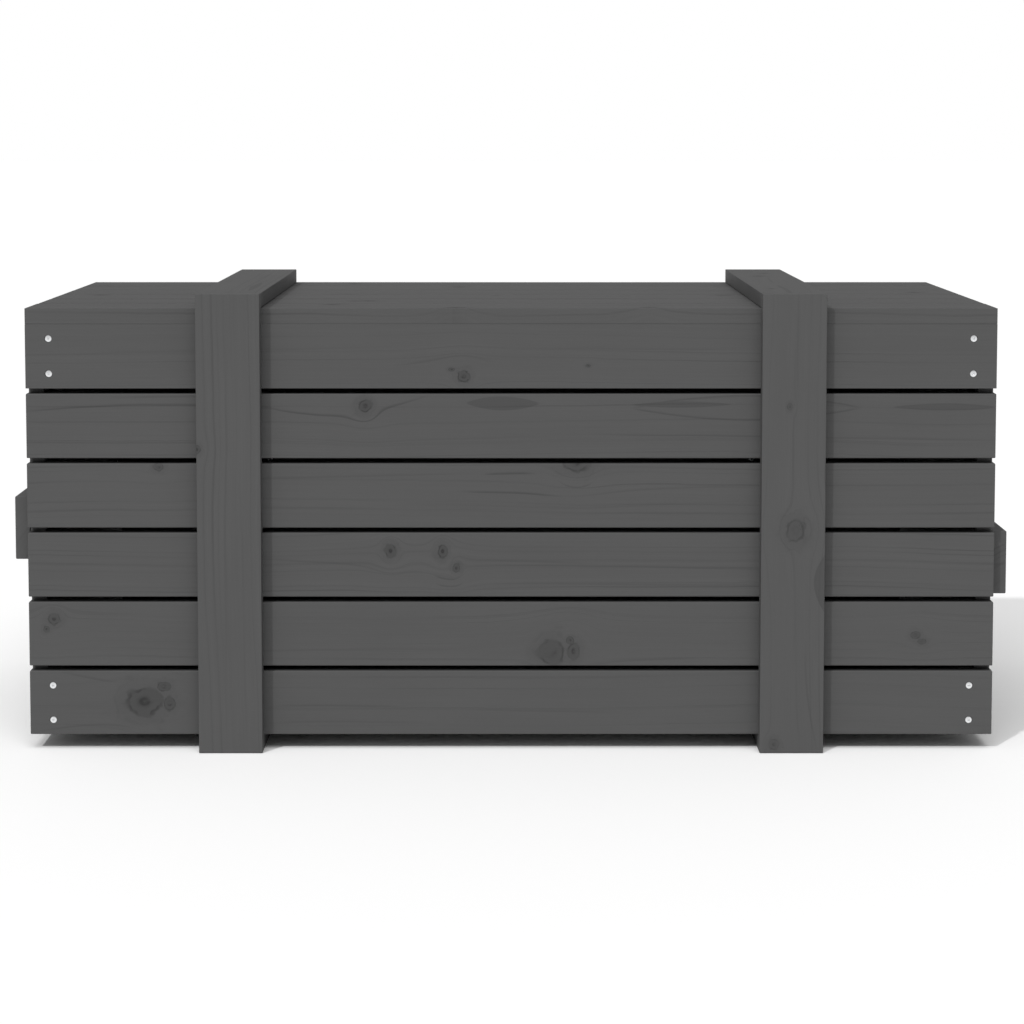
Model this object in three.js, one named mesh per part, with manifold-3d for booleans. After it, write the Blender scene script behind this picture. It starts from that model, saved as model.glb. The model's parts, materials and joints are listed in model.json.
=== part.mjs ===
// Slatted wooden toy box with a hinged lid, in millimetres.
// +X runs along the box, -Y is its front and +Z is up.
// The origin is on the ground, under the middle of the box.
import * as THREE from 'three';
import { mergeVertices } from 'three/addons/utils/BufferGeometryUtils.js';
import Module from 'manifold-3d';

const wasm = await Module();
wasm.setup();

// Timber: one board thickness all over the box, and two widths.
const boardThickness = 14;
const slatWidth = 59;
const battenWidth = 58;
const edgeRadius = 1.2;
const edgeSegments = 1;
const endChamfer = 0.6;
const seam = 0.3; // gap left between faces that touch

// Walls
const boxLength = 882; // over the ends of the front slats
const boxDepth = 377; // front face to back face of the slats
const slatsPerWall = 6;
const slatGap = 4.8;
const footHeight = boardThickness; // the foot battens lift the slats off the ground
const strapX = 255.7; // middle of the upright straps and the battens in line with them
const floorThickness = 6;

// Lid
const lidBoardCount = 6;
const lidFrontGap = 0.6; // between the lid's front edge and the straps
const lidBattenSetback = 8; // from the lid's back edge to the battens' back ends

// Handles: each batten sits at its own height.
const leftHandleZ = 203;
const rightHandleZ = 171;

// Butt hinges on the back face
const hingeX = 340;
const leafThickness = 1.5;
const leafHeight = 13;
const knuckleRadius = 3;
const pinRadius = 1.5;
const boreRadius = 1.6;
const outerKnuckle = 16;
const middleKnuckle = 17.2;
const knuckleGap = 0.4;
const pinOverhang = 0.8;
const leafScrewX = 16;
const leafScrewHeadRadius = 2.5;
const leafScrewHoleRadius = 1.4;

// Countersunk screws through the front slats' ends
const screwHeadRadius = 3;
const screwShankRadius = 1.6;
const screwHeadDepth = 1.8;
const screwLength = 28;
const screwPointLength = 4;
const screwSink = 0.2; // below the face of the slat
const screwSpread = 16; // above and below the middle of the slat
const recessLength = 3;
const recessWidth = 0.8;
const recessDepth = 1.1;
const roundSegments = 24;

// Worked out from the sizes above
const frontFaceY = -boxDepth / 2;
const wallEndX = boxLength / 2;
const slatPitch = slatWidth + slatGap;
const wallTop = footHeight + slatsPerWall * slatWidth + (slatsPerWall - 1) * slatGap;
const lidTop = wallTop + boardThickness;
const boxHeight = lidTop + boardThickness;
const innerX = wallEndX - 2 * boardThickness - seam; // the end slats lie inside the corner posts
const innerY = boxDepth / 2 - boardThickness;
const hingeLength = 2 * outerKnuckle + middleKnuckle + 2 * knuckleGap;
const hingeAxis = { y: boxDepth / 2 + seam + knuckleRadius, z: wallTop - seam / 2 };

const painted = { color: 0x5a5a5a, roughness: 0.62, metalness: 0 };
const paintedPlywood = { color: 0x575757, roughness: 0.7, metalness: 0 };
const zinc = { color: 0xc9ccd0, roughness: 0.32, metalness: 1 };

const box = new THREE.Group();
const lid = new THREE.Group();
lid.position.set(0, hingeAxis.y, hingeAxis.z);
const toyBox = new THREE.Group();
toyBox.add(box, lid);

// Adds one sub-part to a group; its place is given in the whole box's frame.
function add(group, name, geometry, finish, x, y, z) {
  const mesh = new THREE.Mesh(geometry, new THREE.MeshStandardMaterial(finish));
  mesh.name = name;
  mesh.position.set(x, y, z).sub(group.position);
  group.add(mesh);
}

function toSolid(geometry) {
  const bare = geometry.clone();
  bare.deleteAttribute('normal');
  bare.deleteAttribute('uv');
  const merged = mergeVertices(bare);
  const vertProperties = new Float32Array(merged.attributes.position.array);
  const triVerts = new Uint32Array(merged.index.array);
  return new wasm.Manifold(new wasm.Mesh({ numProp: 3, vertProperties, triVerts }));
}

function toGeometry(solid) {
  const mesh = solid.getMesh();
  const geometry = new THREE.BufferGeometry();
  geometry.setAttribute('position', new THREE.BufferAttribute(mesh.vertProperties, 3));
  geometry.setIndex(new THREE.BufferAttribute(mesh.triVerts, 1));
  const facets = geometry.toNonIndexed();
  facets.computeVertexNormals();
  return facets;
}

function roundedRectangle(width, height, radius) {
  const x = width / 2;
  const y = height / 2;
  const shape = new THREE.Shape();
  shape.moveTo(x, radius - y);
  shape.lineTo(x, y - radius);
  shape.absarc(x - radius, y - radius, radius, 0, Math.PI / 2);
  shape.lineTo(radius - x, y);
  shape.absarc(radius - x, y - radius, radius, Math.PI / 2, Math.PI);
  shape.lineTo(-x, radius - y);
  shape.absarc(radius - x, radius - y, radius, Math.PI, 1.5 * Math.PI);
  shape.lineTo(x - radius, -y);
  shape.absarc(x - radius, radius - y, radius, 1.5 * Math.PI, 2 * Math.PI);
  return shape;
}

// A board centred on the origin, with its long edges rounded and its ends chamfered.
// size is [x, y, z], and grain is the axis that the board runs along.
function boardGeometry(size, grain) {
  const [x, y, z] = size;
  const section = { x: [z, y], y: [x, z], z: [x, y] }[grain];
  const length = { x, y, z }[grain];
  const outline = roundedRectangle(
    section[0] - 2 * endChamfer,
    section[1] - 2 * endChamfer,
    edgeRadius - endChamfer,
  );
  const geometry = new THREE.ExtrudeGeometry(outline, {
    depth: length - 2 * endChamfer,
    curveSegments: edgeSegments,
    bevelEnabled: true,
    bevelThickness: endChamfer,
    bevelSize: endChamfer,
    bevelSegments: 1,
  });
  geometry.translate(0, 0, endChamfer - length / 2);
  if (grain === 'x') geometry.rotateY(Math.PI / 2);
  if (grain === 'y') geometry.rotateX(-Math.PI / 2);
  return geometry;
}

function slatMiddle(row) {
  return footHeight + slatWidth / 2 + (row - 1) * slatPitch;
}

// A round tool or shank along Y, its profile given as [radius, y] points from the axis to the axis.
function turned(profile) {
  const points = profile.map(([radius, y]) => new THREE.Vector2(radius, y));
  return new THREE.LatheGeometry(points, roundSegments);
}

function tube(radius, length) {
  const geometry = new THREE.CylinderGeometry(radius, radius, length, roundSegments);
  return geometry.rotateZ(Math.PI / 2);
}

// Hole for one corner screw, countersunk at y = 0 and going inwards along +Y.
function screwHole(depth) {
  const hole = screwShankRadius + seam;
  const mouth = screwHeadRadius + seam;
  return turned([
    [0, depth],
    [hole, depth],
    [hole, screwHeadDepth + screwSink + seam],
    [mouth, screwSink],
    [mouth, -1],
    [0, -1],
  ].reverse());
}

function screwPlaces() {
  const places = [];
  for (const row of [slatsPerWall, 1]) {
    places.push(slatMiddle(row) + screwSpread, slatMiddle(row) - screwSpread);
  }
  return places;
}

const screwX = innerX + boardThickness / 2; // middle of the end slats' ends
const sides = [['left', -1], ['right', 1]];

// The top slats are lower by the seam, because the lid closes on them.
function slatHeight(row) {
  return row === slatsPerWall ? slatWidth - seam : slatWidth;
}

function slatCentre(row) {
  return slatMiddle(row) - (slatWidth - slatHeight(row)) / 2;
}

function frontSlat(row) {
  const plain = boardGeometry([boxLength, boardThickness, slatHeight(row)], 'x');
  if (row !== 1 && row !== slatsPerWall) return plain;
  const drop = slatMiddle(row) - slatCentre(row);
  let solid = toSolid(plain);
  for (const [, side] of sides) {
    for (const dz of [-screwSpread, screwSpread]) {
      const drill = screwHole(boardThickness + 1);
      drill.translate(side * screwX, -boardThickness / 2, dz + drop);
      solid = solid.subtract(toSolid(drill));
    }
  }
  return toGeometry(solid);
}

function buildLongWalls() {
  const wallY = boxDepth / 2 - boardThickness / 2;
  for (let row = 1; row <= slatsPerWall; row += 1) {
    const back = boardGeometry([boxLength, boardThickness, slatHeight(row)], 'x');
    add(box, `front_slat_${row}`, frontSlat(row), painted, 0, -wallY, slatCentre(row));
    add(box, `back_slat_${row}`, back, painted, 0, wallY, slatCentre(row));
  }
}

// The corner screws enter the front ends of the lowest and the highest end slats.
function endSlat(row) {
  const length = 2 * (innerY - seam);
  const plain = boardGeometry([boardThickness, length, slatHeight(row)], 'y');
  if (row !== 1 && row !== slatsPerWall) return plain;
  const drop = slatMiddle(row) - slatCentre(row);
  const depth = screwLength - boardThickness + 1;
  let solid = toSolid(plain);
  for (const dz of [-screwSpread, screwSpread]) {
    const drill = turned([
      [0, -1],
      [screwShankRadius + seam, -1],
      [screwShankRadius + seam, depth],
      [0, depth],
    ]);
    drill.translate(0, -length / 2, dz + drop);
    solid = solid.subtract(toSolid(drill));
  }
  return toGeometry(solid);
}

function buildEndWalls() {
  const x = innerX + boardThickness / 2;
  for (const [word, side] of sides) {
    for (let row = 1; row <= slatsPerWall; row += 1) {
      add(box, `${word}_slat_${row}`, endSlat(row), painted, side * x, 0, slatCentre(row));
    }
  }
}

// Uprights outside the end slats, flush with the ends of the long walls.
function buildCornerPosts() {
  const height = wallTop - footHeight - seam;
  const x = wallEndX - boardThickness / 2;
  const y = innerY - seam - battenWidth / 2;
  const z = footHeight + height / 2;
  for (const [word, side] of sides) {
    for (const [wall, facing] of [['front', -1], ['back', 1]]) {
      const geometry = boardGeometry([boardThickness, battenWidth, height], 'z');
      add(box, `post_${wall}_${word}`, geometry, painted, side * x, facing * y, z);
    }
  }
}

// The front straps rise past the lid; the back ones stop below it, so that it can swing.
function buildStraps() {
  const thickness = boardThickness - seam;
  const y = boxDepth / 2 + seam + thickness / 2;
  const backHeight = wallTop - seam;
  for (const [word, side] of sides) {
    const front = boardGeometry([battenWidth, thickness, boxHeight], 'z');
    const back = boardGeometry([battenWidth, thickness, backHeight], 'z');
    add(box, `strap_front_${word}`, front, painted, side * strapX, -y, boxHeight / 2);
    add(box, `strap_back_${word}`, back, painted, side * strapX, y, backHeight / 2);
  }
}

function buildFloor() {
  const height = footHeight - seam;
  for (const [word, side] of sides) {
    const foot = boardGeometry([battenWidth, boxDepth, height], 'y');
    add(box, `foot_batten_${word}`, foot, painted, side * strapX, 0, height / 2);
  }
  const size = [2 * (innerX - seam), 2 * (innerY - seam), floorThickness];
  const panel = new THREE.BoxGeometry(...size);
  add(box, 'floor_panel', panel, paintedPlywood, 0, 0, footHeight + floorThickness / 2);
}

// The handles are fixed across the posts, with room for fingers behind them.
function buildHandles() {
  const thickness = boardThickness - seam;
  const x = wallEndX + seam + thickness / 2;
  const size = [thickness, 2 * innerY, battenWidth];
  add(box, 'handle_left', boardGeometry(size, 'y'), painted, -x, 0, leftHandleZ);
  add(box, 'handle_right', boardGeometry(size, 'y'), painted, x, 0, rightHandleZ);
}

function buildLid() {
  const front = frontFaceY + lidFrontGap - seam;
  const depth = boxDepth / 2 - front;
  const gap = (depth - lidBoardCount * slatWidth) / (lidBoardCount - 1);
  for (let board = 1; board <= lidBoardCount; board += 1) {
    const y = front + slatWidth / 2 + (board - 1) * (slatWidth + gap);
    const geometry = boardGeometry([boxLength, slatWidth, boardThickness], 'x');
    add(lid, `lid_board_${board}`, geometry, painted, 0, y, wallTop + boardThickness / 2);
  }
  const length = depth - lidBattenSetback;
  const height = boardThickness - seam;
  for (const [word, side] of sides) {
    const geometry = boardGeometry([battenWidth, length, height], 'y');
    const x = side * strapX;
    add(lid, `lid_batten_${word}`, geometry, painted, x, front + length / 2, boxHeight - height / 2);
  }
}

// Countersunk holes of one leaf, drilled from its outer face at y = 0 towards the timber.
function drillLeaf(solid, z, outerY) {
  let drilled = solid;
  for (const x of [-leafScrewX, leafScrewX]) {
    const drill = turned([
      [0, -leafThickness - 1],
      [leafScrewHoleRadius, -leafThickness - 1],
      [leafScrewHoleRadius, -leafThickness + 0.2],
      [leafScrewHeadRadius, 0],
      [leafScrewHeadRadius, 1],
      [0, 1],
    ]);
    drill.translate(x, outerY, z);
    drilled = drilled.subtract(toSolid(drill));
  }
  return drilled;
}

// One leaf with its knuckles, about the hinge's axis; up is 1 for the lid's leaf and -1 for the box's.
function leafGeometry(up) {
  const plateStart = 0.25;
  const plateHeight = leafHeight - plateStart;
  const plateMiddle = up * (plateStart + plateHeight / 2);
  const plate = new THREE.BoxGeometry(hingeLength, leafThickness, plateHeight);
  plate.translate(0, leafThickness / 2 - knuckleRadius, plateMiddle);
  let leaf = toSolid(plate);
  const sideX = (middleKnuckle + outerKnuckle) / 2 + knuckleGap;
  const middle = [[0, middleKnuckle]];
  const outer = [[-sideX, outerKnuckle], [sideX, outerKnuckle]];
  const own = up > 0 ? middle : outer;
  const others = up > 0 ? outer : middle;
  for (const [x, length] of own) {
    leaf = leaf.add(toSolid(tube(knuckleRadius, length).translate(x, 0, 0)));
  }
  for (const [x, length] of others) {
    const room = tube(knuckleRadius + knuckleGap, length + 2 * knuckleGap);
    leaf = leaf.subtract(toSolid(room.translate(x, 0, 0)));
  }
  leaf = leaf.subtract(toSolid(tube(boreRadius, hingeLength + 2)));
  const screwZ = up * (leafHeight + knuckleRadius) / 2;
  return toGeometry(drillLeaf(leaf, screwZ, leafThickness - knuckleRadius));
}

function buildHinges() {
  const reach = hingeLength / 2 + pinOverhang;
  const pin = [[0, -reach], [pinRadius, -reach + 0.5], [pinRadius, reach - 0.5], [0, reach]];
  const { y, z } = hingeAxis;
  for (const [word, side] of sides) {
    const x = side * hingeX;
    add(box, `hinge_leaf_box_${word}`, leafGeometry(-1), zinc, x, y, z);
    add(lid, `hinge_leaf_lid_${word}`, leafGeometry(1), zinc, x, y, z);
    add(box, `hinge_pin_${word}`, turned(pin).rotateZ(Math.PI / 2), zinc, x, y, z);
  }
}

// A countersunk screw driven along +Y, with its head's face at y = 0 and a cross recess.
function screwGeometry() {
  const shaft = turned([
    [0, 0],
    [screwHeadRadius, 0],
    [screwShankRadius, screwHeadDepth],
    [screwShankRadius, screwLength - screwPointLength],
    [0, screwLength],
  ]);
  const slot = new THREE.BoxGeometry(recessLength, 2 * recessDepth, recessWidth);
  const cross = toSolid(slot).add(toSolid(slot.clone().rotateY(Math.PI / 2)));
  return toGeometry(toSolid(shaft).subtract(cross));
}

function buildCornerScrews() {
  const y = frontFaceY + screwSink;
  for (const [word, side] of sides) {
    screwPlaces().forEach((z, index) => {
      add(box, `corner_screw_${word}_${index + 1}`, screwGeometry(), zinc, side * screwX, y, z);
    });
  }
}

buildLongWalls();
buildEndWalls();
buildCornerPosts();
buildStraps();
buildFloor();
buildHandles();
buildLid();
buildHinges();
buildCornerScrews();

export default toyBox;
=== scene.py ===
import json
import math
import random

import bmesh
import bpy
from mathutils import Matrix, Vector


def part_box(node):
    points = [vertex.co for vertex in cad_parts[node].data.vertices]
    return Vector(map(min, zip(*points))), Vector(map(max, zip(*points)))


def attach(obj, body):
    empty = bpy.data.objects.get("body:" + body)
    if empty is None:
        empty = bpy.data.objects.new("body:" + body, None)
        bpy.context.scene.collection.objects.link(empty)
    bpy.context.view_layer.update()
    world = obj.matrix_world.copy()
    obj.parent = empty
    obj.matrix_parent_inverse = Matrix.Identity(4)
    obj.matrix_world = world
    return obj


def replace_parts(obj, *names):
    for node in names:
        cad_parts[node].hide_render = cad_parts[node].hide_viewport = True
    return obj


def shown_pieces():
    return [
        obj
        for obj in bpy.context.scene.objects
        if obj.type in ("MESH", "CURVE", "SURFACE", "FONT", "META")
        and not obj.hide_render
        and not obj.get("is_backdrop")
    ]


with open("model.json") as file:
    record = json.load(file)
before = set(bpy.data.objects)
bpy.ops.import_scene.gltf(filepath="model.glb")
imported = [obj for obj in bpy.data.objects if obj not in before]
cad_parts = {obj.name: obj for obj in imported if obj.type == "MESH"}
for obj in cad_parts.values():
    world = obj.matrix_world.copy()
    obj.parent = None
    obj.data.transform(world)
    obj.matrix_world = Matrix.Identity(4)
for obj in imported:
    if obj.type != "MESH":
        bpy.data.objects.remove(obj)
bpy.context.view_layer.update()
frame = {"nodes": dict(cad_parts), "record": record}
scene = bpy.context.scene
print("frame loaded,", len(frame["nodes"]), "nodes")


# The camera stands in front of the box and looks slightly down.
viewpoint = {
    "place": (-0.0011, -2.375, 0.5684),
    "tilt": 4.22,  # degrees below the horizon
    "lens": 85.09,
    "shift": (0.0021, -0.2),
}


def makeCamera():
    data = bpy.data.cameras.new("camera")
    data.lens = viewpoint["lens"]
    data.shift_x, data.shift_y = viewpoint["shift"]
    data.clip_end = 100
    camera = bpy.data.objects.new("camera", data)
    camera.location = viewpoint["place"]
    camera.rotation_euler = (math.radians(90 - viewpoint["tilt"]), 0, 0)
    scene.collection.objects.link(camera)
    scene.camera = camera


makeCamera()


# Short cuts for building a material out of nodes.
def addNode(tree, kind, inputs=None, **settings):
    node = tree.nodes.new(kind)
    for key, value in settings.items():
        setattr(node, key, value)
    for key, value in (inputs or {}).items():
        if isinstance(value, bpy.types.NodeSocket):
            tree.links.new(value, node.inputs[key])
        else:
            node.inputs[key].default_value = value
    return node


def calc(tree, operation, *values):
    node = addNode(tree, "ShaderNodeMath", dict(enumerate(values)), operation=operation)
    return node.outputs[0]


def smoothRange(tree, value, low, high):  # 0 at low, 1 at high, smooth between them
    inputs = {"Value": value, "From Min": low, "From Max": high}
    node = addNode(tree, "ShaderNodeMapRange", inputs, interpolation_type="SMOOTHSTEP")
    return node.outputs[0]


def stretchedNoise(tree, place, stretch, offset, detail):  # noise with so many features a metre
    scaled = addNode(tree, "ShaderNodeVectorMath", {0: place, 1: stretch}, operation="MULTIPLY")
    moved = addNode(tree, "ShaderNodeVectorMath", {0: scaled.outputs[0], 1: offset}, operation="ADD")
    inputs = {"Vector": moved.outputs[0], "Scale": 1.0, "Detail": detail}
    return addNode(tree, "ShaderNodeTexNoise", inputs).outputs["Fac"]


def newGroup(name, inputs, outputs):
    tree = bpy.data.node_groups.new(name, "ShaderNodeTree")
    for label, kind in inputs.items():
        tree.interface.new_socket(label, in_out="INPUT", socket_type="NodeSocket" + kind)
    for label in outputs:
        tree.interface.new_socket(label, in_out="OUTPUT", socket_type="NodeSocketFloat")
    given = tree.nodes.new("NodeGroupInput").outputs
    made = tree.nodes.new("NodeGroupOutput").inputs
    return tree, given, made


# Pine grain, worked out from the place in the board, so it runs on over the edges and the ends.
pine = {
    "ringDensity": 300,  # growth rings' noise, features a metre
    "ringSpread": 13.0,  # moves a board's rings along the noise by its seed
    "ringDetail": 1.8,
    "ringRoughness": 0.6,
    "driftScale": (2.3, 1.0, 1.0),  # features a metre along, across and through a board
    "liftScale": (3.1, 2.0, 2.0),
    "rippleScale": (34.0, 60.0, 60.0),
    "fadeScale": (5.0, 24.0, 24.0),
    "fadeFrom": 0.36,
    "fadeTo": 0.70,
    "fibreScale": (16.0, 1300.0, 1300.0),
    "patchScale": (7.0, 26.0, 26.0),
    "faintest": 0.15,  # a line never fades below this
    "waver": 0.004,  # how far a streak strays
    "sideDrift": 0.024,  # how far the middle of the tree wanders across the board
    "depthDrift": 0.008,
    "wobble": 0.0012,
    "lineFrom": 0.405,  # a narrower range of noise gives fewer lines
    "lineTo": 0.345,
}
knotShape = {
    "flow": 1.9,  # the grain parts this many core radii from a knot's middle
    "flowReach": 0.013,  # but no further than this
    "raggedness": 1.1,
    "haloReach": 2.5,  # distances here and below are in core radii
    "haloFull": 0.85,
    "haloRing": 0.6,  # share of the halo that comes in rings
    "coreReach": 1.22,
    "coreFull": 0.9,
    "coreBase": 0.4,
    "coreRing": 0.35,
    "heartReach": 0.62,
    "heartFull": 0.2,
    "heartDepth": 0.45,
    "rings": 8.0,
    "coarseScale": (0.75, 0.95, 0.0),  # features a core radius
    "mottleScale": (0.8, 0.8, 0.0),
    "variety": 500.0,  # gives each place its own part of the noise
}


def makeGrainGroup():
    sockets = dict.fromkeys(("Push", "Seed", "Pith Side", "Pith Depth"), "Float")
    sockets["Place"] = "Vector"
    tree, given, made = newGroup("pineGrain", sockets, ("Lines", "Tone", "Fibre", "Patches"))
    seed = given["Seed"]
    spread = calc(tree, "MULTIPLY", seed, 1.7)
    offset = addNode(tree, "ShaderNodeCombineXYZ", {0: seed, 1: spread}).outputs[0]
    place = given["Place"]
    split = addNode(tree, "ShaderNodeSeparateXYZ", {0: place}).outputs
    drift = stretchedNoise(tree, place, pine["driftScale"], offset, 1.0)
    lift = stretchedNoise(tree, place, pine["liftScale"], offset, 2.0)
    ripple = stretchedNoise(tree, place, pine["rippleScale"], offset, 2.0)
    side = calc(tree, "SUBTRACT", calc(tree, "SUBTRACT", split["Y"], given["Push"]), given["Pith Side"])
    side = calc(tree, "MULTIPLY_ADD", calc(tree, "SUBTRACT", drift, 0.5), pine["sideDrift"], side)
    depth = calc(tree, "SUBTRACT", split["Z"], given["Pith Depth"])
    depth = calc(tree, "MULTIPLY_ADD", calc(tree, "SUBTRACT", lift, 0.5), pine["depthDrift"], depth)
    squares = calc(tree, "ADD", calc(tree, "MULTIPLY", side, side), calc(tree, "MULTIPLY", depth, depth))
    radius = calc(tree, "SQRT", squares)
    radius = calc(tree, "MULTIPLY_ADD", calc(tree, "SUBTRACT", ripple, 0.5), pine["wobble"], radius)
    start = calc(tree, "MULTIPLY", seed, pine["ringSpread"])
    turn = calc(tree, "MULTIPLY_ADD", radius, pine["ringDensity"], start)
    inputs = {"W": turn, "Scale": 1.0}
    inputs.update(Detail=pine["ringDetail"], Roughness=pine["ringRoughness"])
    rings = addNode(tree, "ShaderNodeTexNoise", inputs, noise_dimensions="1D").outputs["Fac"]
    lines = smoothRange(tree, rings, pine["lineFrom"], pine["lineTo"])
    fade = stretchedNoise(tree, place, pine["fadeScale"], offset, 1.0)
    fade = smoothRange(tree, fade, pine["fadeFrom"], pine["fadeTo"])
    fade = calc(tree, "MULTIPLY_ADD", fade, 1.0 - pine["faintest"], pine["faintest"])
    tree.links.new(calc(tree, "MULTIPLY", lines, fade), made["Lines"])
    tree.links.new(rings, made["Tone"])
    tree.links.new(stretchedNoise(tree, place, pine["fibreScale"], offset, 3.0), made["Fibre"])
    tree.links.new(stretchedNoise(tree, place, pine["patchScale"], offset, 3.0), made["Patches"])
    return tree


def makeKnotGroup():
    sockets = dict.fromkeys(("Radius", "Stretch", "Flow"), "Float")
    sockets.update(Place="Vector", Knot="Vector")
    tree, given, made = newGroup("pineKnot", sockets, ("Push", "Core", "Halo"))
    ends = {0: given["Place"], 1: given["Knot"]}
    away = addNode(tree, "ShaderNodeVectorMath", ends, operation="SUBTRACT")
    split = addNode(tree, "ShaderNodeSeparateXYZ", {0: away.outputs[0]}).outputs
    along = calc(tree, "DIVIDE", split["X"], given["Stretch"])
    acrossSquare = calc(tree, "MULTIPLY", split["Y"], split["Y"])
    squares = calc(tree, "ADD", calc(tree, "MULTIPLY", along, along), acrossSquare)
    even = calc(tree, "DIVIDE", calc(tree, "SQRT", squares), given["Radius"])
    pull = calc(tree, "DIVIDE", given["Flow"], calc(tree, "MAXIMUM", even, given["Flow"]))
    tree.links.new(calc(tree, "MULTIPLY", split["Y"], calc(tree, "MULTIPLY", pull, pull)), made["Push"])
    scaled = addNode(tree, "ShaderNodeVectorMath", {0: away.outputs[0]}, operation="SCALE")
    tree.links.new(calc(tree, "DIVIDE", 1.0, given["Radius"]), scaled.inputs["Scale"])
    inputs = {0: given["Knot"], "Scale": knotShape["variety"]}
    shift = addNode(tree, "ShaderNodeVectorMath", inputs, operation="SCALE").outputs[0]
    coarse = stretchedNoise(tree, scaled.outputs[0], knotShape["coarseScale"], shift, 2.0)
    ragged = calc(tree, "SUBTRACT", coarse, 0.5)
    ragged = calc(tree, "MULTIPLY_ADD", ragged, knotShape["raggedness"], 1.0)
    distance = calc(tree, "MULTIPLY", even, ragged)
    wave = calc(tree, "SINE", calc(tree, "MULTIPLY", distance, knotShape["rings"]))
    mottle = stretchedNoise(tree, scaled.outputs[0], knotShape["mottleScale"], shift, 2.0)
    broken = smoothRange(tree, mottle, 0.40, 0.62)
    ring = calc(tree, "MULTIPLY", smoothRange(tree, wave, 0.2, 0.95), broken)
    heart = smoothRange(tree, distance, knotShape["heartReach"], knotShape["heartFull"])
    heart = calc(tree, "MULTIPLY", heart, smoothRange(tree, coarse, 0.3, 0.55))
    inner = calc(tree, "MULTIPLY_ADD", heart, knotShape["heartDepth"], knotShape["coreBase"])
    inner = calc(tree, "MULTIPLY_ADD", ring, knotShape["coreRing"], inner)
    core = smoothRange(tree, distance, knotShape["coreReach"], knotShape["coreFull"])
    tree.links.new(calc(tree, "MULTIPLY", core, inner), made["Core"])
    halo = smoothRange(tree, distance, knotShape["haloReach"], knotShape["haloFull"])
    outer = calc(tree, "MULTIPLY_ADD", ring, knotShape["haloRing"], 1.0 - knotShape["haloRing"])
    tree.links.new(calc(tree, "MULTIPLY", halo, outer), made["Halo"])
    return tree


streakEdge = {"soft": 0.0024, "full": 0.0003, "sharp": -0.0007, "sharpFull": 0.0001}
lensEdge = {"outside": 0.0004, "inside": -0.0005, "shallow": -0.0006, "deep": -0.0026}


# A single dark line of grain. It stays out of the knots, as the rest of the grain does.
def addStreak(tree, along, across, streak):
    x, y, slope, curve, reach, strength = streak
    away = calc(tree, "SUBTRACT", along, x)
    line = calc(tree, "MULTIPLY_ADD", away, calc(tree, "MULTIPLY_ADD", away, curve, slope), y)
    side = calc(tree, "SUBTRACT", across, line)
    soft = smoothRange(tree, side, streakEdge["soft"], streakEdge["full"])
    sharp = smoothRange(tree, side, streakEdge["sharp"], streakEdge["sharpFull"])
    ends = smoothRange(tree, calc(tree, "ABSOLUTE", away), reach, reach * 0.4)
    ends = calc(tree, "MULTIPLY", ends, strength)
    return calc(tree, "MULTIPLY", calc(tree, "MULTIPLY", soft, sharp), ends)


# A pointed patch where the saw ran along a growth ring.
def addLens(tree, along, across, lens):
    x, y, reach, height, filled = lens
    share = calc(tree, "DIVIDE", calc(tree, "SUBTRACT", along, x), reach)
    half = calc(tree, "MULTIPLY_ADD", calc(tree, "MULTIPLY", share, share), -height, height)
    edge = calc(tree, "SUBTRACT", calc(tree, "ABSOLUTE", calc(tree, "SUBTRACT", across, y)), half)
    inside = smoothRange(tree, edge, lensEdge["outside"], lensEdge["inside"])
    deep = smoothRange(tree, edge, lensEdge["shallow"], lensEdge["deep"])
    inside = calc(tree, "MULTIPLY", inside, calc(tree, "MULTIPLY_ADD", deep, filled - 1.0, 1.0))
    return calc(tree, "MULTIPLY", inside, smoothRange(tree, calc(tree, "ABSOLUTE", share), 1.0, 0.85))


grainGroup = makeGrainGroup()
knotGroup = makeKnotGroup()


# Grey paint over the grain. Each depth is how much darker its mark makes the paint.
greyPaint = {
    "colour": (0.0815, 0.0815, 0.0815),
    "lineDepth": 0.16,
    "toneDepth": 0.16,
    "fibreDepth": 0.10,
    "patchDepth": 0.13,
    "streakDepth": 0.26,
    "lensDepth": 0.19,
    "coreDepth": 0.48,
    "haloDepth": 0.22,
    "roughness": 0.62,
    "specular": 0.13,
    "roughSpread": 0.16,
    "relief": 0.00022,  # metres from a line's floor to the surface
    "bumpStrength": 0.6,
    "fibreHeight": 0.35,  # shares of the relief
    "lineHeight": -0.65,
    "coreHeight": -0.5,
}


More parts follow.
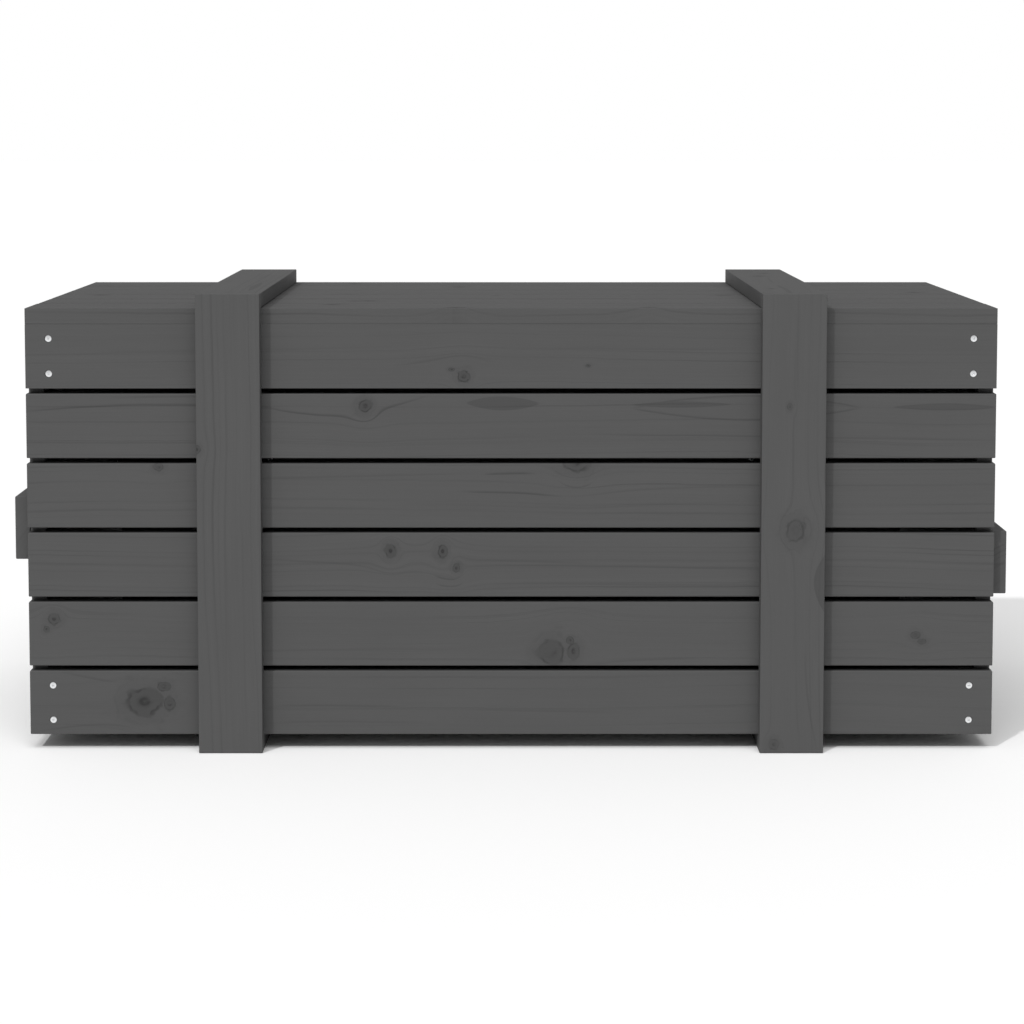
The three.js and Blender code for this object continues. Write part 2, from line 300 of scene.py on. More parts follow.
def addGrain(tree, place, seed, pith, figure):
    push, core, halo = 0.0, 0.0, 0.0
    for x, y, radius, stretch in figure.get("knots", ()):
        knot = addNode(tree, "ShaderNodeGroup", node_tree=knotGroup)
        tree.links.new(place, knot.inputs["Place"])
        flow = min(knotShape["flow"], knotShape["flowReach"] / radius)
        values = {"Knot": (x, y, 0.0), "Radius": radius, "Stretch": stretch, "Flow": flow}
        for label, value in values.items():
            knot.inputs[label].default_value = value
        push = calc(tree, "ADD", push, knot.outputs["Push"])
        core = calc(tree, "MAXIMUM", core, knot.outputs["Core"])
        halo = calc(tree, "MAXIMUM", halo, knot.outputs["Halo"])
    grain = addNode(tree, "ShaderNodeGroup", node_tree=grainGroup)
    tree.links.new(place, grain.inputs["Place"])
    if figure.get("knots"):
        tree.links.new(push, grain.inputs["Push"])
        core = calc(tree, "MULTIPLY", core, figure.get("knotStrength", 1.0))
    grain.inputs["Seed"].default_value = seed
    grain.inputs["Pith Side"].default_value = pith[0]
    grain.inputs["Pith Depth"].default_value = pith[1]
    split = addNode(tree, "ShaderNodeSeparateXYZ", {0: place}).outputs
    waver = calc(tree, "SUBTRACT", grain.outputs["Patches"], 0.5)
    waver = calc(tree, "MULTIPLY", waver, pine["waver"])
    across = calc(tree, "ADD", calc(tree, "SUBTRACT", split["Y"], push), waver)
    streaks, lenses = 0.0, 0.0
    for streak in figure.get("streaks", ()):
        streaks = calc(tree, "MAXIMUM", streaks, addStreak(tree, split["X"], across, streak))
    for lens in figure.get("lenses", ()):
        lenses = calc(tree, "MAXIMUM", lenses, addLens(tree, split["X"], across, lens))
    marks = {"core": core, "halo": halo, "streak": streaks, "lens": lenses}
    return grain.outputs, marks


def addShade(tree, grain, marks, paint, strength):  # how much of the paint's colour is left
    shade = calc(tree, "MULTIPLY_ADD", grain["Lines"], -paint["lineDepth"] * strength, 1.0)
    depths = {"Tone": paint["toneDepth"] * strength}
    depths.update(Fibre=paint["fibreDepth"], Patches=paint["patchDepth"])
    for label, depth in depths.items():
        shade = calc(tree, "MULTIPLY_ADD", calc(tree, "SUBTRACT", grain[label], 0.5), depth, shade)
    for label, mark in marks.items():
        if isinstance(mark, bpy.types.NodeSocket):
            left = calc(tree, "MULTIPLY_ADD", mark, -paint[label + "Depth"], 1.0)
            shade = calc(tree, "MULTIPLY", shade, left)
    return shade


def paintedPine(name, seed, pith, figure, paint=greyPaint):
    material = bpy.data.materials.new(name)
    material.use_nodes = True
    tree = material.node_tree
    shader = tree.nodes["Principled BSDF"]
    place = addNode(tree, "ShaderNodeTexCoord").outputs["Object"]
    grain, marks = addGrain(tree, place, seed, pith, figure)
    shade = addShade(tree, grain, marks, paint, figure.get("strength", 0.8))
    inputs = {0: paint["colour"], "Scale": shade}
    colour = addNode(tree, "ShaderNodeVectorMath", inputs, operation="SCALE")
    tree.links.new(colour.outputs[0], shader.inputs["Base Color"])
    spread = paint["roughSpread"]
    rough = calc(tree, "MULTIPLY_ADD", grain["Patches"], spread, paint["roughness"] - spread / 2)
    tree.links.new(rough, shader.inputs["Roughness"])
    shader.inputs["Specular IOR Level"].default_value = paint["specular"]
    height = calc(tree, "MULTIPLY", grain["Lines"], paint["lineHeight"])
    height = calc(tree, "MULTIPLY_ADD", grain["Fibre"], paint["fibreHeight"], height)
    if figure.get("knots"):
        height = calc(tree, "MULTIPLY_ADD", marks["core"], paint["coreHeight"], height)
    relief = {"Height": height, "Distance": paint["relief"], "Strength": paint["bumpStrength"]}
    bump = addNode(tree, "ShaderNodeBump", relief)
    tree.links.new(bump.outputs[0], shader.inputs["Normal"])
    return material


# Turning a profile and cutting one shape out of another.
def lathe(shape, profile, steps):  # profile of (radius, z) from axis to axis
    rings = []
    for radius, z in profile:
        if radius == 0:
            rings.append([shape.verts.new((0, 0, z))])
            continue
        turns = [2 * math.pi * i / steps for i in range(steps)]
        rings.append([shape.verts.new((radius * math.cos(a), radius * math.sin(a), z)) for a in turns])
    for first, second in zip(rings, rings[1:]):
        for i in range(steps):
            j = (i + 1) % steps
            corners = [first[i % len(first)], first[j % len(first)]]
            corners += [second[j % len(second)], second[i % len(second)]]
            shape.faces.new(dict.fromkeys(corners))  # an end's corners are one point


def carve(mesh, cutter):  # the mesh with the cutter's shape taken out of it
    body = bpy.data.objects.new("body", mesh)
    tool = bpy.data.objects.new("tool", cutter)
    scene.collection.objects.link(body)
    scene.collection.objects.link(tool)
    modifier = body.modifiers.new("cut", "BOOLEAN")
    modifier.object = tool
    modifier.solver = "EXACT"
    depsgraph = bpy.context.evaluated_depsgraph_get()
    carved = bpy.data.meshes.new_from_object(body.evaluated_get(depsgraph))
    bpy.data.objects.remove(body)
    bpy.data.objects.remove(tool)
    return carved


# Every board is a bar with rounded edges and ends, built along its own length.
board = {
    "edgeRadius": 0.0011,
    "endRadius": 0.0010,
    "cornerSteps": 4,
    "endSteps": 3,
    "stations": 16,
    "bow": 0.00018,  # the most that a board strays from straight
}
# Edge radii of the boards that are crisper than the rest.
crispBoards = {"lid_board_1": 0.0003, "front_slat_6": 0.0003, "strap": 0.0007, "batten": 0.0007}
lidSettle = 0.00022  # the lid's boards come this much closer to the walls than the CAD boards
countersink = {
    "fromEnd": 0.021,  # from a slat's end to the middle of its screws
    "spread": 0.016,  # above and below the slat's middle
    "mouth": 0.0033,
    "hole": 0.0019,
    "depth": 0.0023,
}
# The boards with drilled countersinks, and on which side of their thickness.
sunkBoards = {"front_slat_1": 1, "front_slat_6": 1, "back_slat_1": -1, "back_slat_6": -1}


def countersinks(length, side):
    shape = bmesh.new()
    reach = 0.02
    face = 0.007  # half of a board's thickness
    profile = [
        (0, -reach),
        (countersink["hole"], -reach),
        (countersink["hole"], face - countersink["depth"]),
        (countersink["mouth"], face - 0.0001),
        (countersink["mouth"], reach),
        (0, reach),
    ]
    for x in (countersink["fromEnd"] - length / 2, length / 2 - countersink["fromEnd"]):
        for y in (-countersink["spread"], countersink["spread"]):
            drill = bmesh.new()
            lathe(drill, [(radius, z * side) for radius, z in profile], 32)
            bmesh.ops.recalc_face_normals(drill, faces=drill.faces)
            bmesh.ops.translate(drill, verts=drill.verts, vec=(x, y, 0))
            part = bpy.data.meshes.new("drill")
            drill.to_mesh(part)
            drill.free()
            shape.from_mesh(part)
            bpy.data.meshes.remove(part)
    mesh = bpy.data.meshes.new("drills")
    shape.to_mesh(mesh)
    shape.free()
    return mesh


def sectionLoop(halfWidth, halfThick, radius):
    points = []
    for signY, signZ, start in ((1, 1, 0), (-1, 1, 90), (-1, -1, 180), (1, -1, 270)):
        for step in range(board["cornerSteps"] + 1):
            angle = math.radians(start + 90 * step / board["cornerSteps"])
            y = signY * (halfWidth - radius) + radius * math.cos(angle)
            z = signZ * (halfThick - radius) + radius * math.sin(angle)
            points.append((y, z))
    return points


def boardStations(length, radius):  # (distance along, inset) from one rounded end to the other
    half = length / 2
    ends = []
    for step in range(board["endSteps"] + 1):
        angle = math.radians(90 * step / board["endSteps"])
        ends.append((radius * (1 - math.cos(angle)) - half, radius * (1 - math.sin(angle))))
    span = length - 2 * radius
    middle = [(radius - half + span * i / board["stations"], 0.0) for i in range(1, board["stations"])]
    return ends + middle + [(-x, inset) for x, inset in reversed(ends)]


def boardMesh(name, length, width, thickness, chance):
    crisp = next((radius for word, radius in crispBoards.items() if word in name), board["edgeRadius"])
    bowY, bowZ = (chance.uniform(-1, 1) * board["bow"] for _ in range(2))
    phase = chance.uniform(0, math.pi)
    shape = bmesh.new()
    loops = []
    for x, inset in boardStations(length, min(crisp, board["endRadius"])):
        radius = max(crisp - inset, 0.0003)
        bend = math.cos(math.pi * x / length)
        twist = math.sin(2 * math.pi * x / length + phase)
        points = sectionLoop(width / 2 - inset, thickness / 2 - inset, radius)
        loops.append([shape.verts.new((x, y + bowY * bend, z + bowZ * bend * twist)) for y, z in points])
    for first, second in zip(loops, loops[1:]):
        for i in range(len(first)):
            j = (i + 1) % len(first)
            shape.faces.new((first[i], first[j], second[j], second[i]))
    shape.faces.new(loops[0][::-1])
    shape.faces.new(loops[-1])
    bmesh.ops.recalc_face_normals(shape, faces=shape.faces)
    mesh = bpy.data.meshes.new(name)
    shape.to_mesh(mesh)
    shape.free()
    mesh.shade_smooth()
    return mesh


def boardAxes(size):  # world axes of the board's length, width and thickness
    order = sorted(range(3), key=lambda axis: -size[axis])
    axes = [Vector((0, 0, 0)) for _ in range(3)]
    for place, axis in enumerate(order):
        axes[place][axis] = 1
    if axes[0].cross(axes[1]).dot(axes[2]) < 0:
        axes[2] = -axes[2]
    return axes


def weightNormals(piece):
    modifier = piece.modifiers.new("weightedNormals", "WEIGHTED_NORMAL")
    modifier.keep_sharp = True


def placePiece(name, mesh, body, matrix=Matrix()):
    piece = bpy.data.objects.new(name, mesh)
    piece.matrix_world = matrix
    scene.collection.objects.link(piece)
    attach(piece, body)
    return piece


# What a board's grain is drawn from, and its knots and marks where it has no set figure. Along and
# across are shares of its length and width to either side of its middle.
drawn = {
    "seed": (1, 50),
    "pithSide": (0.02, 0.08),
    "pithDepth": (0.03, 0.06),
    "knotCounts": (0, 1, 1, 2, 3),
    "knotRadius": (0.0022, 0.0065),
    "knotAlong": 0.46,
    "knotAcross": 0.40,
    "knotStretch": (1.0, 1.7),
    "streakCounts": (1, 2, 3),
    "streakAlong": 0.5,
    "streakAcross": 0.45,
    "streakReach": (0.05, 0.3),
    "streakSlope": 0.03,
    "streakCurve": 0.12,
    "streakStrength": (0.2, 0.7),
    "lensShare": 0.35,  # of the boards have a lens
    "lensAlong": 0.4,
    "lensAcross": 0.3,
    "lensReach": (0.03, 0.09),
    "lensHeight": (0.002, 0.005),
    "lensFilled": 0.8,
}


def between(chance, name):
    return chance.uniform(*drawn[name])


def aroundMiddle(chance, name):
    return chance.uniform(-drawn[name], drawn[name])


def randomKnots(chance, length, width):
    knots = []
    for _ in range(chance.choice(drawn["knotCounts"])):
        radius = between(chance, "knotRadius")
        x = aroundMiddle(chance, "knotAlong") * length
        y = aroundMiddle(chance, "knotAcross") * width
        knots.append((x, y, radius, between(chance, "knotStretch")))
    return knots


def randomStreaks(chance, length, width):
    streaks = []
    for _ in range(chance.choice(drawn["streakCounts"])):
        x = aroundMiddle(chance, "streakAlong") * length
        y = aroundMiddle(chance, "streakAcross") * width
        reach = between(chance, "streakReach")
        slope = aroundMiddle(chance, "streakSlope")
        curve = aroundMiddle(chance, "streakCurve")
        streaks.append((x, y, slope, curve, reach, between(chance, "streakStrength")))
    return streaks


def randomFigure(chance, length, width):
    figure = {"knots": randomKnots(chance, length, width), "streaks": randomStreaks(chance, length, width)}
    if chance.random() < drawn["lensShare"]:
        x = aroundMiddle(chance, "lensAlong") * length
        y = aroundMiddle(chance, "lensAcross") * width
        reach = between(chance, "lensReach")
        figure["lenses"] = [(x, y, reach, between(chance, "lensHeight"), drawn["lensFilled"])]
    return figure


def makeBoard(node, body, figure=None):
    low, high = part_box(node)
    if node.startswith("lid_board"):
        low.z -= lidSettle
    size = high - low
    along, across, through = boardAxes(size)
    length, width, thickness = sorted(size, reverse=True)
    chance = random.Random(node)
    mesh = boardMesh(node, length, width, thickness, chance)
    if node in sunkBoards:
        mesh = carve(mesh, countersinks(length, sunkBoards[node]))
        mesh.shade_smooth()
        mesh.set_sharp_from_angle(angle=math.radians(35))
    matrix = Matrix((along, across, through)).transposed().to_4x4()
    matrix.translation = (low + high) / 2
    pithSide = chance.choice((-1, 1)) * between(chance, "pithSide")
    pithDepth = chance.choice((-1, 1)) * between(chance, "pithDepth")
    seed = between(chance, "seed")
    figure = figure or randomFigure(chance, length, width)
    mesh.materials.append(paintedPine(node, seed, figure.get("pith", (pithSide, pithDepth)), figure))
    piece = placePiece(node + ".board", mesh, body, matrix)
    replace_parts(piece, node)


# The figure of the boards in front, in metres from the board's middle. A knot is its place along
# and across the board, its radius and its stretch along the grain. A streak is its place, slope,
# curve, reach and strength. A lens is its place, reach, half height and how far it is filled.
frontFigures = {
    "front_slat_6": {
        "knots": [
            (-0.043, -0.0185, 0.0052, 1.1),
            (-0.054, -0.0120, 0.0016, 1.8),
            (0.070, -0.0085, 0.0014, 1.6),
        ],
        "streaks": [
            (-0.060, -0.0060, 0.02, -1.20, 0.05, 0.5),
            (0.100, 0.0060, 0.00, 0.05, 0.12, 0.3),
            (-0.300, 0.0040, 0.02, 0.00, 0.20, 0.3),
        ],
    },
    "front_slat_5": {
        "strength": 0.6,
        "pith": (-0.075, 0.035),
        "knots": [(-0.1325, 0.0184, 0.0058, 1.0)],
        "streaks": [
            (-0.1550, 0.0104, 0.044, 2.10, 0.095, 1.0),
            (-0.3300, 0.0192, 0.015, -0.42, 0.150, 0.9),
            (-0.3000, 0.0265, 0.00, -0.30, 0.080, 0.5),
            (0.1700, -0.0093, -0.012, 0.0, 0.110, 0.6),
            (0.3500, -0.0120, -0.010, 0.0, 0.120, 0.5),
            (-0.1000, -0.0120, 0.00, 0.10, 0.160, 0.3),
        ],
        "lenses": [
            (-0.0075, 0.0208, 0.0350, 0.0064, 1.0),
            (0.1550, 0.0195, 0.0480, 0.0030, 0.9),
            (0.2140, 0.0165, 0.1080, 0.0118, 0.0),
            (0.3940, 0.0170, 0.0500, 0.0034, 0.8),
        ],
    },
    "front_slat_4": {
        "strength": 0.55,
        "knotStrength": 0.8,
        "pith": (-0.060, 0.040),
        "knots": [(0.0594, 0.0300, 0.0080, 1.5), (-0.321, 0.0262, 0.0036, 1.3)],
        "streaks": [
            (-0.0020, 0.0207, 0.05, 0.00, 0.028, 1.0),
            (-0.1500, 0.0170, 0.03, 0.00, 0.150, 0.35),
            (0.0000, 0.0040, 0.00, 0.05, 0.055, 0.9),
            (0.1400, 0.0080, 0.02, -0.20, 0.110, 0.4),
            (0.0594, 0.0150, 0.00, 20.0, 0.020, 0.6),
            (0.0500, -0.0080, 0.01, 0.05, 0.200, 0.25),
        ],
    },
    "front_slat_3": {
        "pith": (0.070, 0.035),
        "knots": [
            (-0.1100, 0.0129, 0.0058, 0.85),
            (-0.0625, 0.0126, 0.0060, 0.75),
            (-0.0500, -0.0030, 0.0040, 0.8),
        ],
        "streaks": [
            (-0.0590, -0.0050, 0.05, 16.0, 0.013, 0.8),
            (-0.0560, -0.0130, 0.04, 12.0, 0.015, 0.6),
            (0.1000, -0.0020, -0.012, -0.04, 0.200, 0.55),
            (0.0200, 0.0020, -0.03, 0.00, 0.080, 0.3),
            (-0.1600, 0.0010, -0.05, 0.00, 0.100, 0.4),
            (0.1200, -0.0180, -0.01, 0.00, 0.160, 0.4),
        ],
    },
    "front_slat_2": {
        "strength": 0.3,
        "knotStrength": 0.8,
        "pith": (0.080, -0.040),
        "knots": [
            (0.0370, -0.0173, 0.0112, 1.05),
            (0.0570, -0.0160, 0.0078, 0.70),
            (0.0540, -0.0060, 0.0036, 1.0),
            (-0.4180, 0.0137, 0.0050, 1.1),
            (-0.4250, 0.0045, 0.0030, 0.9),
            (0.3700, -0.0010, 0.0036, 1.2),
            (0.3760, -0.0070, 0.0026, 1.5),
        ],
        "streaks": [(-0.1500, -0.0150, 0.01, 0.00, 0.150, 0.3), (0.1200, -0.0240, 0.03, 0.00, 0.060, 0.4)],
    },
    "front_slat_1": {
        "strength": 0.35,
        "pith": (-0.085, 0.045),
        "knots": [
            (-0.3360, 0.0010, 0.0125, 1.3),
            (-0.3130, -0.0010, 0.0058, 0.9),
            (-0.3180, 0.0150, 0.0045, 1.3),
        ],
        "streaks": [
            (-0.3900, -0.0190, 0.14, -0.90, 0.050, 0.5),
            (-0.3850, 0.0200, -0.25, 0.00, 0.030, 0.5),
            (-0.1600, -0.0030, 0.00, -0.30, 0.070, 0.5),
            (-0.1500, -0.0180, 0.00, -0.20, 0.090, 0.35),
            (0.0300, -0.0080, -0.02, 0.00, 0.080, 0.35),
        ],
    },
    "strap_front_left": {
        "pith": (0.070, 0.045),
        "knots": [(0.0690, -0.0285, 0.0034, 1.2)],
        "streaks": [(0.0, -0.0040, 0.01, 0.05, 0.20, 0.25), (-0.08, 0.0120, -0.02, 0.04, 0.15, 0.25)],
    },
    "strap_front_right": {
        "strength": 0.45,
        "knotStrength": 0.5,
        "pith": (-0.085, 0.050),
        "knots": [
            (0.1080, -0.0040, 0.0024, 1.3),
            (-0.0050, 0.0020, 0.0085, 1.2),
            (-0.0010, 0.0085, 0.0030, 1.3),
            (-0.2020, -0.0160, 0.0046, 1.1),
        ],
        "streaks": [(-0.16, 0.0130, -0.10, 1.2, 0.06, 0.4), (0.16, 0.002, 0.02, 0.2, 0.06, 0.2)],
        "lenses": [
            (-0.0500, 0.0300, 0.0330, 0.0130, 0.9),
            (0.0400, 0.0300, 0.0400, 0.0050, 0.8),
        ],
    },
}


def makeBoards():
    for body, nodes in frame["record"]["behaviour"]["bodies"].items():
        for node in nodes:
            if any(word in node for word in ("slat", "post", "strap", "batten", "handle", "board")):
                makeBoard(node, body, frontFigures.get(node))


makeBoards()
print("boards made")


# Plated metal for the screws and the hinges.
zinc = {"colour": (0.84, 0.85, 0.86), "roughness": 0.34, "mottle": 0.10}
hingeSteel = {"colour": (0.55, 0.56, 0.58), "roughness": 0.38, "mottle": 0.14}
plate = {
    "crystals": (420.0, 420.0, 420.0),  # features a metre
    "brushing": (90.0, 2600.0, 2600.0),
    "roughSpread": 0.2,
    "relief": 0.00003,
    "bumpStrength": 0.4,
}


def platedMetal(name, values):
    material = bpy.data.materials.new(name)
    material.use_nodes = True
    tree = material.node_tree
    shader = tree.nodes["Principled BSDF"]
    place = addNode(tree, "ShaderNodeTexCoord").outputs["Object"]
    crystals = stretchedNoise(tree, place, plate["crystals"], (0.0, 0.0, 0.0), 3.0)
    brushed = stretchedNoise(tree, place, plate["brushing"], (3.0, 0.0, 0.0), 2.0)
    shade = calc(tree, "MULTIPLY_ADD", calc(tree, "SUBTRACT", crystals, 0.5), values["mottle"], 1.0)
    colour = addNode(tree, "ShaderNodeVectorMath", {0: values["colour"], "Scale": shade}, operation="SCALE")
    tree.links.new(colour.outputs[0], shader.inputs["Base Color"])
    spread = plate["roughSpread"]
    rough = calc(tree, "MULTIPLY_ADD", brushed, spread, values["roughness"] - spread / 2)
    tree.links.new(rough, shader.inputs["Roughness"])
    shader.inputs["Metallic"].default_value = 1.0
    relief = {"Height": brushed, "Distance": plate["relief"], "Strength": plate["bumpStrength"]}
    bump = addNode(tree, "ShaderNodeBump", relief)
    tree.links.new(bump.outputs[0], shader.inputs["Normal"])
    return material


zincMaterial = platedMetal("zincPlate", zinc)
hingeMaterial = platedMetal("hingeSteel", hingeSteel)


# Countersunk screws with a cross recess.
screw = {
    "headRadius": 0.0030,
    "rimHeight": 0.00025,
    "headDepth": 0.0018,
    "shankRadius": 0.0016,
    "shown": 0.006,  # length of shank below the head; the rest is hidden in the wood
    "recess": 0.0030,  # across the cross
    "recessWidth": 0.0008,
    "recessDepth": 0.0012,
    "recessTaper": 0.62,
    "cutAbove": 0.001,  # the cutter stands this far out of the head
    "steps": 40,
}


def crossCutter():
    shape = bmesh.new()
    long, wide, deep = screw["recess"] / 2, screw["recessWidth"] / 2, screw["recessDepth"]
    outline = [(long, wide), (wide, wide), (wide, long), (-wide, long), (-wide, wide), (-long, wide)]
    outline += [(-x, -y) for x, y in outline]
    top = [shape.verts.new((x, y, screw["cutAbove"])) for x, y in outline]
    taper = screw["recessTaper"]
    bottom = [shape.verts.new((x * taper, y * taper, -deep)) for x, y in outline]
    shape.faces.new(top)
    shape.faces.new(bottom[::-1])
    for i in range(len(outline)):
        j = (i + 1) % len(outline)
        shape.faces.new((top[j], top[i], bottom[i], bottom[j]))
    bmesh.ops.recalc_face_normals(shape, faces=shape.faces)
    mesh = bpy.data.meshes.new("cross")
    shape.to_mesh(mesh)
    shape.free()
    return mesh


def screwHeadMesh():  # head's face at z = 0, shank going down
    shape = bmesh.new()
    radius, rim = screw["headRadius"], screw["rimHeight"]
    neck = -screw["headDepth"]
    lathe(shape, [
        (0, 0),
        (radius * 0.88, 0),
        (radius * 0.97, -rim * 0.35),
        (radius, -rim),
        (screw["shankRadius"], neck),
        (screw["shankRadius"], neck - screw["shown"]),
        (0, neck - screw["shown"]),
    ], screw["steps"])
    bmesh.ops.recalc_face_normals(shape, faces=shape.faces)
    mesh = bpy.data.meshes.new("screwHead")
    shape.to_mesh(mesh)
    shape.free()
    carved = carve(mesh, crossCutter())
    carved.shade_smooth()
    carved.set_sharp_from_angle(angle=math.radians(32))
    return carved


screwMesh = screwHeadMesh()
screwTurns = random.Random(7)


def makeScrews(name, body, places, facing, size=1.0):
    shape = bmesh.new()
    stand = Vector(facing).to_track_quat("Z", "Y").to_matrix().to_4x4()
    for place in places:
        turn = Matrix.Rotation(screwTurns.uniform(0, math.pi / 2), 4, "Z")
        part = screwMesh.copy()
        part.transform(Matrix.Translation(place) @ stand @ turn @ Matrix.Scale(size, 4))
        shape.from_mesh(part)
        bpy.data.meshes.remove(part)
    mesh = bpy.data.meshes.new(name)
    shape.to_mesh(mesh)
    shape.free()
    mesh.materials.append(zincMaterial)
    return placePiece(name, mesh, body)


def boardFace(node, axis, side):  # where a board's face lies, and its outward direction
    low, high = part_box(node)
    facing = [0, 0, 0]
    facing[axis] = side
    return (high if side > 0 else low)[axis], facing


def middle(node):
    low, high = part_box(node)
    return (low + high) / 2


fastening = {
    "sunk": 0.0002,  # below the surface at the drilled corners
    "proud": 0.0003,  # more than a board's bow, so no head sinks under the paint
    "handlePair": (-0.015, 0.015),
    "lidPair": (-0.011, 0.011),  # clear of the walls' top edges
    "floorRow": (-0.15, -0.05, 0.05, 0.15),
    "battenX": 0.2557,  # middle of the battens under the floor and on the lid
}
pairs = (-countersink["spread"], countersink["spread"])
sides = (("left", -1), ("right", 1))


def makeCornerScrews():
    for word, side in sides:
        for number in range(1, 5):
            node = f"corner_screw_{word}_{number}"
            low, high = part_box(node)
            place = ((low.x + high.x) / 2, low.y, (low.z + high.z) / 2)
            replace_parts(makeScrews(node + ".head", "box", [place], (0, -1, 0)), node)
    low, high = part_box("back_slat_6")
    across = high.x - countersink["fromEnd"]
    rows = [middle(f"back_slat_{row}").z for row in (1, 6)]
    y = high.y - fastening["sunk"]
    places = [(x, y, z + dz) for x in (-across, across) for z in rows for dz in pairs]
    makeScrews("backCornerScrews", "box", places, (0, 1, 0))


def makeOtherScrews():  # most are driven from the inside of the box
    proud = fastening["proud"]
    for word, side in sides:
        for wall, inward in (("front", 1), ("back", -1)):
            face, facing = boardFace(f"{wall}_slat_3", 1, inward)
            x = middle(f"strap_{wall}_{word}").x
            rows = [middle(f"{wall}_slat_{row}").z for row in range(1, 7)]
            places = [(x, face + proud * inward, z + dz) for z in rows for dz in pairs]
            makeScrews(f"strapScrews_{wall}_{word}", "box", places, facing)
            y = middle(f"post_{wall}_{word}").y
            face, facing = boardFace(f"{word}_slat_3", 0, -side)
            places = [(face - proud * side, y, z + dz) for z in rows for dz in pairs]
            makeScrews(f"postScrews_{wall}_{word}", "box", places, facing)
        handle = middle(f"handle_{word}").z
        face, facing = boardFace(f"handle_{word}", 0, side)
        reach = abs(middle(f"post_back_{word}").y)
        heights = [handle + dz for dz in fastening["handlePair"]]
        places = [(face + proud * side, y, z) for y in (-reach, reach) for z in heights]
        makeScrews(f"handleScrews_{word}", "box", places, facing)
        face, facing = boardFace("floor_panel", 2, 1)
        x = side * fastening["battenX"]
        places = [(x, y, face + proud) for y in fastening["floorRow"]]
        makeScrews(f"floorScrews_{word}", "box", places, facing)
        face, facing = boardFace("lid_board_1", 2, -1)
        face -= lidSettle
        rows = [middle(f"lid_board_{board}").y for board in range(1, 7)]
        places = [(x, y + dy, face - proud) for y in rows for dy in fastening["lidPair"]]
        makeScrews(f"lidScrews_{word}", "lid", places, facing)


makeCornerScrews()
makeOtherScrews()
print("screws made")


# The hinges keep their CAD shape, and get soft edges, steel and screws.
hinge = {
    "leafThickness": 0.0015,
    "screwSpread": 0.016,
    "screwSize": 0.8,
    "softEdge": 0.00025,
    "screwInset": 0.005,  # from a leaf's free edge to its screws
    "sunk": 0.0001,  # a head below the leaf's face
}


def finishHinges():
    for word, _ in sides:
        for node in (f"hinge_leaf_box_{word}", f"hinge_leaf_lid_{word}", f"hinge_pin_{word}"):
            metal = frame["nodes"][node]
            metal.data.materials.clear()
            metal.data.materials.append(hingeMaterial)
            bevel = metal.modifiers.new("softEdges", "BEVEL")
            bevel.width = hinge["softEdge"]
            bevel.segments = 2
            bevel.limit_method = "ANGLE"
            bevel.angle_limit = math.radians(40)
        for body in ("box", "lid"):
            low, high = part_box(f"hinge_leaf_{body}_{word}")
            x = (low.x + high.x) / 2
            inset = hinge["screwInset"]
            z = low.z + inset if body == "box" else high.z - inset
            y = low.y + hinge["leafThickness"] - hinge["sunk"]
            places = [(x + dx, y, z) for dx in (-hinge["screwSpread"], hinge["screwSpread"])]
            makeScrews(f"hingeScrews_{body}_{word}", body, places, (0, 1, 0), hinge["screwSize"])


finishHinges()
print("hinges finished")


# The floor panel keeps its CAD shape, in the same paint over plywood.
paintedPlywood = dict(greyPaint)
paintedPlywood.update({
    "colour": (0.075, 0.075, 0.075),
    "lineDepth": 0.12,
    "roughness": 0.68,
    "relief": 0.00012,
})
panelFigure = {
    "knots": [(-0.19, 0.03, 0.0045, 1.4), (0.22, -0.05, 0.0035, 1.6)],
    "lenses": [
        (0.05, 0.02, 0.11, 0.009, 0.7),
        (-0.2, -0.08, 0.09, 0.012, 0.6),
        (0.3, 0.1, 0.08, 0.008, 0.7),
    ],
}
panelPith = (0.01, -0.09)
panelSeed = 31.0

panel = frame["nodes"]["floor_panel"]
panel.data.materials.clear()
plywood = paintedPine("paintedPlywood", panelSeed, panelPith, panelFigure, paintedPlywood)
panel.data.materials.append(plywood)
print("floor panel finished")


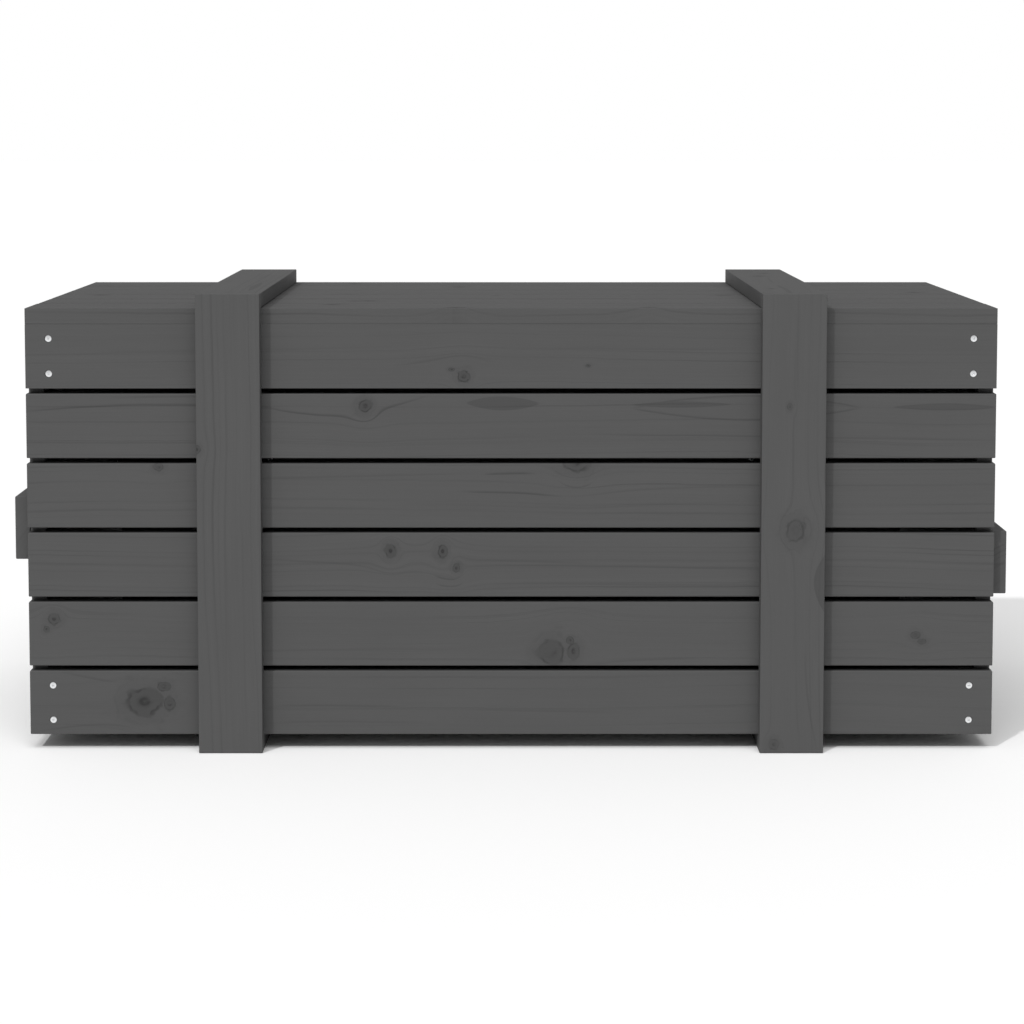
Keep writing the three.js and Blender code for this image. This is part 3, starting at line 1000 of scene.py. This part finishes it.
# A white floor, a soft light from above the front, and a small one that gives the shadows an edge.
studio = {
    "floorSize": 80.0,
    "floorColour": (0.98, 0.98, 0.98),
    "ambient": 0.42,
    "fillStrength": 1.34,
    "fillDirection": (0.0, 0.5, -0.866),
    "fillAngle": 40.0,  # degrees across: as soft as a big softbox
    "keyStrength": 1.2,
    "keyDirection": (0.64, 1.0, -1.18),
    "keyAngle": 2.0,  # for the edge of the shadows
}


def makeFloor():
    shape = bmesh.new()
    bmesh.ops.create_grid(shape, x_segments=1, y_segments=1, size=studio["floorSize"] / 2)
    mesh = bpy.data.meshes.new("studioFloor")
    shape.to_mesh(mesh)
    shape.free()
    material = bpy.data.materials.new("studioFloor")
    material.use_nodes = True
    shader = material.node_tree.nodes["Principled BSDF"]
    shader.inputs["Base Color"].default_value = (*studio["floorColour"], 1)
    shader.inputs["Roughness"].default_value = 0.9
    shader.inputs["Specular IOR Level"].default_value = 0.1
    mesh.materials.append(material)
    floor = bpy.data.objects.new("studioFloor", mesh)
    floor.location.z = -0.0002
    scene.collection.objects.link(floor)
    floor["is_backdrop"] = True


def makeLights():
    for name in ("fill", "key"):
        data = bpy.data.lights.new(name, "SUN")
        data.energy = studio[name + "Strength"]
        data.angle = math.radians(studio[name + "Angle"])
        lamp = bpy.data.objects.new(name, data)
        lamp.rotation_euler = Vector(studio[name + "Direction"]).to_track_quat("-Z", "Y").to_euler()
        scene.collection.objects.link(lamp)


def makeWorld():
    world = bpy.data.worlds.new("studio")
    world.use_nodes = True
    tree = world.node_tree
    background = tree.nodes["Background"]
    background.inputs["Color"].default_value = (1, 1, 1, 1)
    seen = addNode(tree, "ShaderNodeLightPath").outputs["Is Camera Ray"]
    strength = calc(tree, "MULTIPLY_ADD", seen, 1.0 - studio["ambient"], studio["ambient"])
    tree.links.new(strength, background.inputs["Strength"])
    scene.world = world


makeFloor()
makeLights()
makeWorld()
scene.view_settings.view_transform = "Standard"
print("studio made")

for name in [piece.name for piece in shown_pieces() if piece.name.endswith(".board")]:
    weightNormals(bpy.data.objects[name])
